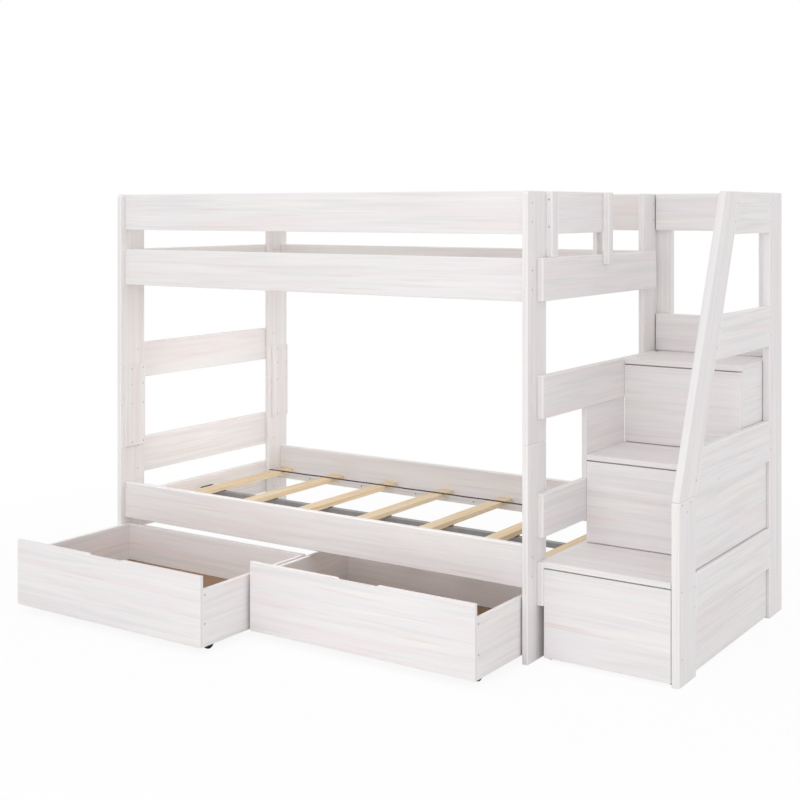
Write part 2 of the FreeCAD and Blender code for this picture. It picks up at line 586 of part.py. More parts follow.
for name, height in SIDE_BOARDS.items():
    for rise in ("dowel_low", "dowel_high"):
        level = f"({height} + {rise})"
        connector(f"{REAR_POST_FRONT} + dowel_inset", level, ["side_rear_post"])
        if name in ("third", "top"):
            connector(f"{handrail_back(level)} - dowel_inset", level, ["handrail"])
        if name == "first":
            connector("side_front + side_post_width - dowel_inset", level, ["side_front_post"])
foot_level = "(side_board_second + handrail_dowel)"
connector(f"{handrail_back(foot_level)} - 2 * dowel_inset", foot_level, ["handrail"])
connector("side_front + side_post_width + board_dowel_reach", "(side_board_second + board_dowel_low)",
          ["side_board_second"])
for inset, level in (("foot_dowel_first", "side_post_height - dowel_inset"),
                     ("foot_dowel_second", "side_post_height - foot_dowel_drop"),
                     ("foot_dowel_third", "side_post_height - dowel_inset"),
                     ("bolt_inset", "bolt_low"), ("bolt_inset", "bolt_high")):
    connector(f"side_front + {inset}", level, ["side_front_post"])

side_post = board(SIDE_INNER, "side_front", "0", "side_thick", "side_post_width", "side_post_height")
node("side_front_post", [drilled("side_front_post", side_post)])
rear_post = board(SIDE_INNER, REAR_POST_FRONT, "0", "side_thick", "rear_post_width", "bed_height")
node("side_rear_post", [drilled("side_rear_post", rear_post)])
rail = slanted(SIDE_INNER, "side_thick", "side_post_height", "bed_height",
               ("side_front", "side_front + handrail_cut"), ("handrail_top", "handrail_top + handrail_cut"))
node("handrail", [drilled("handrail", soften(rail, SIZE["edge_round"]))])

side_boards = [board(f"{SIDE_OUTER} - board_thick", "side_front + side_post_width", "side_board_low",
                     "board_thick", f"{REAR_POST_FRONT} - side_front - side_post_width", "side_board_width")]
for name in ("second", "third", "top"):
    low = SIDE_BOARDS[name]
    high = f"({low} + side_board_width)"
    low_front = f"max({handrail_back(low)}; side_front + side_post_width)"
    plain = slanted(f"{SIDE_OUTER} - board_thick", "board_thick", low, high,
                    (low_front, REAR_POST_FRONT), (handrail_back(high), REAR_POST_FRONT))
    side_boards.append(drilled(f"side_board_{name}", soften(plain, SIZE["edge_round"])))
node("side_boards", side_boards)
side_panels = []
panel_front = "side_front + side_post_width"
panel_length = f"{REAR_POST_FRONT} - side_front - side_post_width"
for low, high in (("side_panel_foot", "side_board_low"),
                  ("(side_board_low + side_board_width)", "side_board_second")):
    core = box(SIDE_INNER, panel_front, low, "side_thick - side_panel_recess - seam_depth", panel_length,
               f"{high} - {low}")
    face = panel(SIDE_INNER, f"{panel_front} + seam", f"{low} + seam", "side_thick - side_panel_recess",
                 f"{panel_length} - 2 * seam", f"{high} - {low} - 2 * seam")
    side_panels.append(fuse([core, face]))
node("side_panels", side_panels)

for name, group in screws.items():
    node(name, group)

# ---- Drawers: front, box, bottom panel, castors and wheels ----
DRAWERS = {"left": ("(post_thick + drawer_gap)", "left_pull"),
           "right": (f"(bed_length - post_thick - drawer_gap - {DRAWER_LENGTH})", "right_pull")}
for name, (left_face, pull) in DRAWERS.items():
    front = f"({DRAWER_SHUT} - {pull})"
    back = f"({front} + drawer_depth)"
    box_front = f"({front} + front_thick)"
    right_face = f"({left_face} + {DRAWER_LENGTH})"

    face = panel(left_face, front, "front_foot", DRAWER_LENGTH, "front_thick", "front_rise")
    middle = f"({left_face} + {DRAWER_LENGTH} / 2)"
    notch = doc.addObject("Part::Wedge", "wedge")
    notch_turn = FreeCAD.Rotation(FreeCAD.Vector(1, 0, 0), 90)
    notch.Placement = FreeCAD.Placement(FreeCAD.Vector(), notch_turn)
    bind(notch, y=f"{box_front} + 1",
         Ymin="front_foot + front_rise - notch_depth", Ymax="front_foot + front_rise",
         Xmin=f"{middle} - notch_width / 2 + notch_slope", Xmax=f"{middle} + notch_width / 2 - notch_slope",
         X2min=f"{middle} - notch_width / 2", X2max=f"{middle} + notch_width / 2",
         Zmin="0", Z2min="0", Zmax="front_thick + 2", Z2max="front_thick + 2")
    node(f"drawer_front_{name}", [cut(face, [notch])])

    inside_x = f"({left_face} + drawer_board)"
    inside_y = f"({box_front} + drawer_board)"
    inside_length = f"({DRAWER_LENGTH} - 2 * drawer_board)"
    inside_depth = "(drawer_depth - front_thick - 2 * drawer_board)"
    groove = box(f"{inside_x} - groove_depth - groove_fit", f"{inside_y} - groove_depth - groove_fit",
                 "drawer_floor_height - groove_fit", f"{inside_length} + 2 * (groove_depth + groove_fit)",
                 f"{inside_depth} + 2 * (groove_depth + groove_fit)", "drawer_floor_thick + 2 * groove_fit")
    walls = []
    for wall_x in (left_face, f"{right_face} - drawer_board"):
        walls.append(panel(wall_x, box_front, "drawer_box_foot", "drawer_board",
                           "drawer_depth - front_thick", DRAWER_BOX_RISE))
    for wall_y in (box_front, f"{back} - drawer_board"):
        walls.append(panel(inside_x, wall_y, "drawer_box_foot", inside_length, "drawer_board",
                           DRAWER_BOX_RISE))
    node(f"drawer_box_{name}", [cut(plain, [groove]) for plain in walls])
    node(f"drawer_bottom_{name}", [box(f"{inside_x} - groove_depth", f"{inside_y} - groove_depth",
                                       "drawer_floor_height", f"{inside_length} + 2 * groove_depth",
                                       f"{inside_depth} + 2 * groove_depth", "drawer_floor_thick")])

    castors = []
    for row, axle_y in (("front", f"({front} + wheel_setback)"), ("rear", f"({back} - wheel_setback)")):
        wheels = []
        for wheel_x in (f"({left_face} + wheel_inset)", f"({right_face} - wheel_inset)"):
            side_x = f"({wheel_x} - wheel_width / 2)"
            tyre = cylinder(side_x, axle_y, "wheel_radius", (1, 0, 0), "wheel_radius", "wheel_width")
            tyre = soften(tyre, SIZE["wheel_round"], (1, 3))
            bore = cylinder(f"{side_x} - 1", axle_y, "wheel_radius", (1, 0, 0), "axle_radius + pin_fit",
                            "wheel_width + 2")
            wheels.append(cut(tyre, [bore]))
            cheek_drop = "(wheel_radius - 2 * axle_radius)"
            fork_left = f"{side_x} - fork_gap - fork_thick"
            fork_across = "wheel_width + 2 * (fork_gap + fork_thick)"
            cheeks = [box(cheek_x, f"{axle_y} - fork_width / 2", cheek_drop, "fork_thick", "fork_width",
                          f"drawer_floor_height - {cheek_drop}")
                      for cheek_x in (fork_left, f"{side_x} + wheel_width + fork_gap")]
            axle = cylinder(fork_left, axle_y, "wheel_radius", (1, 0, 0), "axle_radius", fork_across)
            top = box(fork_left, f"{axle_y} - fork_plate / 2", "drawer_floor_height - fork_top",
                      f"{fork_across} + fork_flange", "fork_plate", "fork_top")
            castors.append(fuse(cheeks + [axle, top]))
        node(f"wheels_{name}_{row}", wheels)
    node(f"castor_forks_{name}", castors)

doc.recompute()

# ---- Checks and STEP files ----
for piece in doc.Objects:
    if "Invalid" in piece.State or "Error" in piece.State:
        raise RuntimeError(f"{piece.Label} failed: {piece.State}")
for piece in nodes:
    if piece.Shape.isNull() or not piece.Shape.isValid() or not piece.Shape.Solids:
        raise RuntimeError(f"{piece.Label} has no valid shape")
if len(nodes) != len({piece.Label for piece in nodes}):
    raise RuntimeError("two sub-parts share a name")

os.makedirs("parts", exist_ok=True)
for piece in nodes:
    piece.Shape.exportStep(f"parts/{piece.Label}.step")
    print(piece.Label, len(piece.Shape.Solids))
whole = Part.makeCompound([piece.Shape for piece in nodes])
print(len(nodes), "sub-parts", len(whole.Solids), "solids", whole.BoundBox)
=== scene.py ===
import json
import math

import bmesh
import bpy
from bpy.props import FloatProperty, FloatVectorProperty, IntProperty, PointerProperty
from mathutils import Matrix, Vector
from mathutils.bvhtree import BVHTree


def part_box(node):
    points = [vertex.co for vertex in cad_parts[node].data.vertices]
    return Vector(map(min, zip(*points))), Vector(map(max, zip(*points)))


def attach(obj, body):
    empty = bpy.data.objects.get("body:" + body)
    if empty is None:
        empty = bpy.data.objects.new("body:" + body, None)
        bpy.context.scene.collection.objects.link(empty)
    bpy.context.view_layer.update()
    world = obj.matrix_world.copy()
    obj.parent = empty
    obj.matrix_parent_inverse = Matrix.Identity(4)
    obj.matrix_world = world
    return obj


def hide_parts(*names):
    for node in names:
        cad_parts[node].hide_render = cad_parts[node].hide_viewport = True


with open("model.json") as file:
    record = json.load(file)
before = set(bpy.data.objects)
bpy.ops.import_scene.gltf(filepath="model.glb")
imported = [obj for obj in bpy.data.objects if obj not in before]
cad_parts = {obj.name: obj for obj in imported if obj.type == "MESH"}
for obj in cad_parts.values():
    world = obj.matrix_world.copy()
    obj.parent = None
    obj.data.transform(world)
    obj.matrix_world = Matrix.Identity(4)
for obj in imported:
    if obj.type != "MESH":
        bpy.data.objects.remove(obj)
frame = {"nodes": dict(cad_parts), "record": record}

bl_info = {
    "name": "Bunk bed with storage stairs",
    "version": (1, 0, 0),
    "blender": (4, 5, 0),
    "location": "View3D > Sidebar > Bunk bed",
    "description": "Finishes, fittings and studio stage of a bunk bed with storage stairs",
    "category": "Object",
}

NODES = frame["nodes"]
SLOTS = {part["node"]: part["material_slot"] for part in frame["record"]["subparts"]}
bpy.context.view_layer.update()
MM = 0.001
TYRE_STEPS = 4


def srgb(red, green, blue):
    """A colour given as it looks on a screen, 0 to 255, as scene-linear values."""
    values = []
    for level in (red, green, blue):
        share = level / 255
        values.append(share / 12.92 if share <= 0.04045 else ((share + 0.055) / 1.055) ** 2.4)
    return tuple(values)


def colour(name, description, default):
    return FloatVectorProperty(name=name, description=description, default=default, subtype="COLOR",
                               size=3, min=0, max=1)


def length(name, description, default):
    return FloatProperty(name=name, description=description, default=default, unit="LENGTH",
                         subtype="DISTANCE")


def share(name, description, default):
    return FloatProperty(name=name, description=description, default=default, subtype="FACTOR", min=0, max=1)


def power(name, description, default):
    return FloatProperty(name=name, description=description, default=default, unit="POWER")


def place(name, description, default):
    return FloatVectorProperty(name=name, description=description, default=default, unit="LENGTH", size=3)


# ---- What a user would change ----
class WhitewashSettings(bpy.types.PropertyGroup):
    base: colour("Base", "White stain over pine", srgb(240, 237, 238))
    warm: colour("Warm bands", "Pinkish bands along the grain", srgb(241, 233, 233))
    pale: colour("Cream bands", "Cream bands along the grain", srgb(243, 240, 238))
    cool: colour("Cool bands", "Greyish bands along the grain", srgb(230, 228, 229))
    line: colour("Growth lines", "Thin lines along the grain", srgb(233, 218, 212))
    pore: colour("Fine streaks", "Darkest tone of the fine streaks", srgb(228, 222, 222))
    end: colour("End grain", "Sawn ends, where more stain sinks in", srgb(233, 229, 228))
    # edge: a painted highlight, a paler colour laid on the rounded edges
    edge: colour("Rounded edges", "Edges, where the stain lies thick", srgb(248, 246, 246))
    band_length: length("Band length", "Length of a band of colour", 0.9)
    band_width: length("Band width", "Width of a band of colour", 0.045)
    line_width: length("Growth line width", "Width of a thin line", 0.010)
    streak_width: length("Streak width", "Width of a fine streak", 0.0032)
    drift: FloatProperty(name="Drift", description="How far the marks leave the straight", default=0.45)
    roughness: share("Roughness", "Roughness of the stain", 0.55)
    relief: length("Relief", "Height of the raised grain", 0.0002)


class PineSettings(bpy.types.PropertyGroup):
    base: colour("Base", "Bare pine", srgb(241, 219, 184))
    warm: colour("Warm bands", "Reddish bands along the grain", srgb(236, 206, 164))
    pale: colour("Cream bands", "Pale bands along the grain", srgb(245, 228, 198))
    cool: colour("Cool bands", "Greyish bands along the grain", srgb(232, 211, 178))
    line: colour("Growth lines", "Thin lines along the grain", srgb(216, 174, 126))
    pore: colour("Fine streaks", "Darkest tone of the fine streaks", srgb(216, 182, 138))
    end: colour("End grain", "Sawn ends", srgb(220, 188, 144))
    # edge: a painted highlight, a paler colour laid on the rounded edges
    edge: colour("Rounded edges", "Sanded edges", srgb(246, 230, 202))
    band_length: length("Band length", "Length of a band of colour", 1.1)
    band_width: length("Band width", "Width of a band of colour", 0.016)
    line_width: length("Growth line width", "Width of a thin line", 0.005)
    streak_width: length("Streak width", "Width of a fine streak", 0.0025)
    drift: FloatProperty(name="Drift", description="How far the marks leave the straight", default=0.35)
    roughness: share("Roughness", "Roughness of the planed wood", 0.6)
    relief: length("Relief", "Height of the raised grain", 0.0002)


class FinishSettings(bpy.types.PropertyGroup):
    hardboard: colour("Hardboard", "Bottom panels of the drawers", srgb(150, 118, 88))
    hardboard_fibre: colour("Hardboard fibres", "Fibres of those panels", srgb(118, 88, 62))
    steel: colour("Castor steel", "Zinc-plated steel of the castors and hinge lugs", srgb(186, 187, 188))
    beam: colour("Beam steel", "Galvanised tube of the centre beams", srgb(158, 158, 160))
    dark_steel: colour("Dark steel", "Powder-coated brackets and castor forks", srgb(52, 52, 54))
    screw: colour("Screws", "Zinc-plated screw heads", srgb(196, 194, 195))
    yellow_screw: colour("Slat screws", "Yellow-zinc screw heads", srgb(156, 108, 70))
    webbing: colour("Webbing", "Woven polyester of the straps", srgb(27, 27, 28))
    # webbing_gap_shade: painted shade in the crevices between the yarns of the straps
    webbing_gap_shade: colour("Webbing gaps", "Between the yarns of the straps", srgb(12, 12, 13))
    tyre: colour("Castor wheels", "Moulded rubber of the wheels", srgb(34, 34, 35))
    plastic: colour("Plastic", "Pads and glides", srgb(30, 30, 31))


class FittingSettings(bpy.types.PropertyGroup):
    recess_depth: length("Screw recess", "Depth of a screw's drive", 0.0009)
    recess_share: share("Recess reach", "Half width of a screw's drive as a share of the head's radius", 0.45)
    shank_share: share("Screw shank", "Shank as a share of the head's radius", 0.62)
    head_rim: length("Head rim", "Straight rim of a screw's head", 0.0006)
    head_depth: length("Head depth", "From a screw's top to its shank", 0.0032)
    point_length: length("Screw point", "Length of a screw's point", 0.005)
    point_radius: length("Point radius", "Radius of a screw's tip", 0.0004)
    cap_radius: length("Cap radius", "Cap of a drawer screw", 0.0045)
    cap_bulge: share("Cap bulge", "Rise of a cap as a share of its radius", 0.16)
    cap_sink: length("Cap sink", "Middle of a cap behind the drawer's side", 0.0002)
    cap_setback: length("Cap setback", "Cap from the front end of the drawer's side", 0.008)
    cap_low: length("Lower cap", "Height of the lower caps", 0.110)
    cap_high: length("Upper cap", "Height of the upper caps", 0.211)
    strap_sag: length("Webbing sag", "Sag of the webbing between two slats", 0.0008)
    strap_steps: IntProperty(name="Webbing steps", description="Steps of a strap along the bed", default=160)
    strap_share: share("Webbing thickness", "Woven strap as a share of the room that it has", 0.8)
    staple_inset: share("Staple inset", "Staple from the middle of a strap, as a share of its width", 0.3)
    staple_reach: length("Staple reach", "Length of a staple's crown", 0.005)
    staple_wire: length("Staple wire", "Width of a staple's crown", 0.0005)
    staple_rise: length("Staple rise", "Height of a staple's crown", 0.00035)
    staple_round: length("Staple rounding", "Rounding of a staple's crown", 0.0002)
    hub_radius: length("Hub radius", "Hub of a castor wheel", 0.0075)
    tyre_depth: length("Tyre depth", "Tyre of a castor wheel, from its web to its tread", 0.006)
    web_recess: length("Web recess", "Web of a castor wheel in from its faces", 0.0035)
    wheel_bore: length("Wheel bore", "Radius of the bore of a castor wheel", 0.0031)
    tyre_round: length("Tyre rounding", "Shoulder of a tyre", 0.003)
    tyre_lip: length("Tyre lip", "Inner rim of a tyre in from the wheel's face", 0.0005)
    wheel_steps: IntProperty(name="Wheel steps", description="Steps round a castor wheel", default=40)
    rivet_radius: length("Rivet radius", "Peened end of an axle", 0.0045)
    rivet_height: length("Rivet height", "Peened end of an axle", 0.001)
    rivet_round: length("Rivet rounding", "Rim of a peened end", 0.00035)
    fork_reach: length("Fork reach", "Face of a wheel to the outer face of its fork", 0.0031)
    cradle_depth: length("Cradle depth", "Bracket's cradle under the beam", 0.014)
    cradle_gap: length("Cradle gap", "Between the cradle and the beam", 0.0004)
    cradle_drop: length("Cradle drop", "Sides of the cradle below the beam's top", 0.004)
    cradle_round: length("Cradle rounding", "Edges of the cradle", 0.0006)
    plate_corner: length("Plate corner", "Corner radius of a bracket's plate", 0.006)
    bracket_screw_inset: length("Bracket screw inset", "Screw in from the end of the plate", 0.012)
    bracket_screw: length("Bracket screw", "Radius of a bracket screw's head", 0.004)
    bracket_screw_bulge: share("Bracket screw bulge", "Rise of its head as a share of its radius", 0.35)
    bracket_screw_lift: length("Bracket screw lift", "Middle of its head before the plate", 0.0006)


class StageSettings(bpy.types.PropertyGroup):
    camera_place: place("Camera place", "Where the camera stands", (2.9071, -4.3153, 1.5577))
    camera_yaw: FloatProperty(name="Camera yaw", description="Turn of the level camera",
                              default=math.radians(33.82), unit="ROTATION")
    camera_lens: FloatProperty(name="Lens", description="Focal length", default=59.83, unit="CAMERA")
    camera_sensor: FloatProperty(name="Sensor", description="Width of the sensor", default=36, unit="CAMERA")
    camera_shift: FloatProperty(name="Shift", description="Upward shift of the lens", default=-0.2369)
    world_strength: FloatProperty(name="World", description="Even light from all round", default=0.86)
    key_power: power("Key light", "Large soft light in front", 24)
    key_place: place("Key place", "Where the key light hangs", (0.9, -3.8, 2.0))
    key_size: length("Key size", "Side of the key light", 3.0)
    fill_power: power("Fill light", "Soft light at the stairs' side", 3)
    fill_place: place("Fill place", "Where the fill light hangs", (5.5, -1.5, 2.6))
    fill_size: length("Fill size", "Side of the fill light", 3.5)
    top_power: power("Top light", "Soft light overhead", 3)
    top_place: place("Top place", "Where the top light hangs", (0.0, 0.0, 5.0))
    top_size: length("Top size", "Side of the top light", 4.0)
    aim: place("Aim", "What the key, fill and top lights point at", (0, 0, 0.7))
    inner_power: power("Inner light", "Soft light across the lower bunk", 1.0)
    inner_place: place("Inner place", "Where the inner light hangs", (0.6, 0.15, 0.95))
    inner_aim: place("Inner aim", "What the inner light points at", (-1.2, 0.3, 0.75))
    inner_size: length("Inner size", "Side of the inner light", 0.7)
    inner_spread: FloatProperty(name="Inner spread", description="Cone of the inner light",
                                default=math.radians(50), unit="ROTATION")
    rail_power: power("Rail light", "Soft light on the lower rail, above the drawers", 0.9)
    rail_place: place("Rail place", "Where the rail light hangs", (-0.25, -0.7, 1.0))
    rail_aim: place("Rail aim", "What the rail light points at", (-0.25, -0.3, 0.3))
    rail_length: length("Rail light length", "Rail light along the bed", 1.8)
    rail_width: length("Rail light width", "Rail light across the bed", 0.2)
    rail_spread: FloatProperty(name="Rail spread", description="Cone of the rail light",
                               default=math.radians(90), unit="ROTATION")
    floor: colour("Floor", "Pale studio floor", srgb(246, 246, 246))
    floor_glow: share("Floor glow", "How far the floor under the bed shows as plain white", 0.92)
    glow_start: length("Glow start", "From the middle, where the floor starts to pale", 1.6)
    glow_end: length("Glow end", "From the middle, where the floor is plain white", 3.6)
    floor_reach: length("Floor reach", "From the middle of the floor to its edge", 14.0)


class BedSettings(bpy.types.PropertyGroup):
    whitewash: PointerProperty(type=WhitewashSettings)
    pine: PointerProperty(type=PineSettings)
    finish: PointerProperty(type=FinishSettings)
    fitting: PointerProperty(type=FittingSettings)
    stage: PointerProperty(type=StageSettings)


def settings():
    return bpy.context.scene.bunk_bed


# ---- Materials ----
class Finish:
    """A material under construction: its nodes, and the places that its patterns read."""

    def __init__(self, name):
        self.material = bpy.data.materials.new(name)
        self.material.use_nodes = True
        self.tree = self.material.node_tree
        self.shader = self.tree.nodes["Principled BSDF"]
        self.texture = self.tree.nodes.new("ShaderNodeTexCoord")

    def feed(self, socket, value):
        """Links a socket, or sets it where the value is not itself a socket."""
        if isinstance(value, bpy.types.NodeSocket):
            self.tree.links.new(value, socket)
        elif hasattr(value, "__len__") and len(value) == 3 and len(socket.default_value) == 4:
            socket.default_value = (*value, 1)
        else:
            socket.default_value = value

    def add(self, kind, inputs=(), **attributes):
        """Adds a node, feeds its inputs by name and sets its attributes."""
        node = self.tree.nodes.new(kind)
        for name, value in attributes.items():
            setattr(node, name, value)
        for name, value in dict(inputs).items():
            self.feed(node.inputs[name], value)
        return node

    def placed(self, size, shift=(0, 0, 0), turn=(0, 0, 0)):
        """Object coordinates in units of the given size, along axes that may be turned."""
        mapping = self.add("ShaderNodeMapping",
                           {"Vector": self.texture.outputs["Object"], "Location": shift,
                            "Rotation": turn, "Scale": size}, vector_type="TEXTURE")
        return mapping.outputs["Vector"]

    def noise(self, point, detail=2.0, distortion=0.0):
        node = self.add("ShaderNodeTexNoise", {"Vector": point, "Scale": 1.0, "Detail": detail,
                                               "Distortion": distortion})
        return node.outputs["Fac"]

    def facing(self):
        """How squarely the surface faces each axis, either way along it."""
        parts = self.add("ShaderNodeSeparateXYZ", {"Vector": self.texture.outputs["Normal"]})
        return [self.sum(part, 0.0, "ABSOLUTE") for part in parts.outputs]

    def spread(self, value, low, high, start=0.0, end=1.0):
        """The stretch of a pattern from low to high, spread smoothly from start to end."""
        node = self.add("ShaderNodeMapRange", {"Value": value, "From Min": low, "From Max": high,
                                               "To Min": start, "To Max": end},
                        interpolation_type="SMOOTHSTEP")
        return node.outputs["Result"]

    def sum(self, first, second, operation="ADD"):
        node = self.add("ShaderNodeMath", operation=operation)
        self.feed(node.inputs[0], first)
        self.feed(node.inputs[1], second)
        return node.outputs["Value"]

    def mixed(self, factor, first, second):
        node = self.add("ShaderNodeMix", data_type="RGBA")
        sockets = {socket.identifier: socket for socket in node.inputs}
        self.feed(sockets["Factor_Float"], factor)
        self.feed(sockets["A_Color"], first)
        self.feed(sockets["B_Color"], second)
        return next(socket for socket in node.outputs if socket.identifier == "Result_Color")

    def shade(self, **inputs):
        for name, value in inputs.items():
            self.feed(self.shader.inputs[name.replace("_", " ")], value)

    def relief(self, height, distance, strength=1.0):
        bump = self.add("ShaderNodeBump", {"Height": height, "Distance": distance, "Strength": strength})
        self.feed(self.shader.inputs["Normal"], bump.outputs["Normal"])


# Axes along which the grain runs; "level" serves the four walls of a box alike
GRAINS = {"x": (0,), "y": (1,), "z": (2,), "level": (0, 1), "lean": (2,)}
# Lengths of the other marks, as shares of a band's length, and a strip's share of its width
STRIP_LENGTH = 0.7
STRIP_WIDTH = 0.4
LINE_LENGTH = 0.6
STREAK_LENGTH = 0.25
# How much of the next tone shows at most: strips, lines, streaks, sawn ends and the painted highlight on
# rounded edges
STRIP_TONE = 0.75
LINE_TONE = 0.8
STREAK_TONE = 0.55
END_TONE = 0.8
EDGE_HIGHLIGHT_TONE = 0.85


def wood(name, tones, grain, shift=0.0, turn=(0, 0, 0)):
    """Wood with long bands, thin lines and fine streaks along its grain, and a painted highlight that makes
    its rounded edges paler.
    """
    finish = Finish(name)
    start = (shift, shift * 0.7, shift * 1.3)

    def marks(length_share, across, detail):
        along = tones.band_length * length_share
        size = [along if axis in GRAINS[grain] else across for axis in range(3)]
        return finish.noise(finish.placed(size, start, turn), detail, tones.drift)

    bands = marks(1.0, tones.band_width, 2)
    strips = marks(STRIP_LENGTH, tones.band_width * STRIP_WIDTH, 1)
    lines = marks(LINE_LENGTH, tones.line_width, 1)
    fine = marks(STREAK_LENGTH, tones.streak_width, 3)
    surface = finish.mixed(finish.spread(bands, 0.5, 0.66), tones.base, tones.warm)
    surface = finish.mixed(finish.spread(bands, 0.5, 0.34), surface, tones.pale)
    surface = finish.mixed(finish.spread(strips, 0.46, 0.72, end=STRIP_TONE), surface, tones.cool)
    surface = finish.mixed(finish.spread(lines, 0.62, 0.8, end=LINE_TONE), surface, tones.line)
    surface = finish.mixed(finish.spread(fine, 0.48, 0.76, end=STREAK_TONE), surface, tones.pore)
    if grain != "lean":
        facing = finish.facing()
        if len(GRAINS[grain]) == 1:
            sawn = finish.spread(facing[GRAINS[grain][0]], 0.75, 0.97, end=END_TONE)
            surface = finish.mixed(sawn, surface, tones.end)
        # Painted highlight: where the normal leans off every axis, on the rounded edges, the edge colour is
        # laid on
        flattest = finish.sum(finish.sum(facing[0], facing[1], "MAXIMUM"), facing[2], "MAXIMUM")
        surface = finish.mixed(finish.spread(flattest, 0.99, 0.9, end=EDGE_HIGHLIGHT_TONE), surface, tones.edge)
    roughness = finish.spread(fine, 0.3, 0.8, tones.roughness - 0.08, tones.roughness + 0.12)
    finish.shade(Base_Color=surface, Roughness=roughness)
    finish.relief(finish.sum(fine, finish.sum(strips, 0.5, "MULTIPLY"), "SUBTRACT"), tones.relief)
    return finish.material


def hardboard_finish():
    tones = settings().finish
    finish = Finish("hardboard")
    fibres = finish.noise(finish.placed((0.004, 0.0015, 0.002)), detail=4, distortion=0.6)
    cloud = finish.noise(finish.placed((0.12, 0.12, 0.12)), detail=2)
    surface = finish.mixed(finish.spread(fibres, 0.4, 0.7, end=0.7), tones.hardboard, tones.hardboard_fibre)
    surface = finish.mixed(finish.spread(cloud, 0.35, 0.7, end=0.35), surface, tones.hardboard_fibre)
    finish.shade(Base_Color=surface, Roughness=finish.spread(fibres, 0.3, 0.7, 0.42, 0.62))
    finish.relief(fibres, 0.0001)
    return finish.material


def coated_finish(name, tone, metallic, rough_low, rough_high, grain, height):
    """A finish of one colour, broken up by fine specks and larger clouds: metal, coating or plastic."""
    finish = Finish(name)
    specks = finish.noise(finish.placed((grain, grain, grain)), detail=3)
    cloud = finish.noise(finish.placed((0.05, 0.05, 0.05)), detail=3)
    darker = [level * 0.82 for level in tone]
    surface = finish.mixed(finish.spread(cloud, 0.35, 0.7, end=0.7), tone, darker)
    finish.shade(Base_Color=surface, Metallic=metallic,
                 Roughness=finish.spread(specks, 0.3, 0.7, rough_low, rough_high))
    finish.relief(specks, height)
    return finish.material


def webbing_finish():
    """Polyester webbing: yarns across the strap, ribs along it."""
    tones = settings().finish
    finish = Finish("webbing")
    ribs = finish.add("ShaderNodeTexWave", {"Vector": finish.placed((1, 0.0022, 1)), "Scale": 0.5,
                                            "Distortion": 0.3}, wave_type="BANDS", bands_direction="Y")
    yarns = finish.add("ShaderNodeTexWave", {"Vector": finish.placed((0.0016, 1, 1)), "Scale": 0.5,
                                             "Distortion": 0.4}, wave_type="BANDS", bands_direction="X")
    weave = finish.sum(ribs.outputs["Fac"], yarns.outputs["Fac"], "MULTIPLY")
    # The gaps between the yarns get the darker colour: painted shade in the weave
    surface = finish.mixed(finish.spread(weave, 0.0, 0.6), tones.webbing_gap_shade, tones.webbing)
    finish.shade(Base_Color=surface, Roughness=0.8)
    finish.relief(weave, 0.0003)
    return finish.material


def make_materials():
    """The record's material slots, and one wood for each direction of the grain."""
    tones = settings()
    plain = tones.finish
    slots = {
        "hardboard": hardboard_finish(),
        "steel": coated_finish("zinc_steel", plain.steel, 1.0, 0.28, 0.45, 0.0006, 0.00003),
        "beam": coated_finish("beam_zinc", plain.beam, 0.3, 0.4, 0.6, 0.0012, 0.00003),
        "dark_steel": coated_finish("dark_coating", plain.dark_steel, 0.0, 0.4, 0.6, 0.0008, 0.00008),
        "zinc_screw": coated_finish("screw_zinc", plain.screw, 0.4, 0.35, 0.5, 0.0004, 0.00002),
        "yellow_screw": coated_finish("screw_yellow", plain.yellow_screw, 0.6, 0.3, 0.48, 0.0004, 0.00002),
        "wheel_rubber": coated_finish("wheel_rubber", plain.tyre, 0.0, 0.5, 0.75, 0.001, 0.00006),
        "black_plastic": coated_finish("black_plastic", plain.plastic, 0.0, 0.35, 0.5, 0.0008, 0.00004),
        "webbing": webbing_finish(),
    }
    for grain in ("x", "y", "z", "level"):
        slots["whitewash", grain] = wood(f"whitewash_{grain}", tones.whitewash, grain)
        slots["pine", grain] = wood(f"pine_{grain}", tones.pine, grain)
    slots["whitewash", "upper"] = wood("whitewash_upper_posts", tones.whitewash, "z", shift=3.1)
    return slots


# How the grain runs in each wooden node, by the start of its name
GRAIN_OF = [("post_", "z"), ("guard_rail", "x"), ("upper_side_rail", "x"), ("lower_side_rail", "x"),
            ("splice_plates", "z"), ("slat_cleats", "x"), ("slats_", "y"), ("end_boards", "y"),
            ("guard_battens", "z"), ("guard_board", "y"), ("filler_panel", "y"), ("stair_box", "level"),
            ("stair_riser", "x"), ("stair_lid", "x"), ("stair_back_wall", "x"), ("side_front_post", "z"),
            ("side_rear_post", "z"), ("side_boards", "y"), ("side_panels", "y"), ("drawer_front", "x"),
            ("drawer_box", "level")]


def grain_of(name):
    return next(grain for start, grain in GRAIN_OF if name.startswith(start))


def dress(piece, *materials):
    piece.data.materials.clear()
    for material in materials:
        piece.data.materials.append(material)


# ---- Mesh helpers ----
def islands(name):
    """The lowest and highest corner of each separate solid of a node."""
    shape = bmesh.new()
    shape.from_mesh(NODES[name].data)
    bmesh.ops.remove_doubles(shape, verts=shape.verts, dist=1e-6)
    unseen = set(shape.verts)
    found = []
    while unseen:
        group = [unseen.pop()]
        for vertex in group:
            for edge in vertex.link_edges:
                other = edge.other_vert(vertex)
                if other in unseen:
                    unseen.remove(other)
                    group.append(other)
        points = [vertex.co.copy() for vertex in group]
        lowest = Vector([min(point[axis] for point in points) for axis in range(3)])
        highest = Vector([max(point[axis] for point in points) for axis in range(3)])
        found.append((lowest, highest))
    shape.free()
    return sorted(found, key=lambda corners: tuple(round(value, 5) for value in corners[0]))


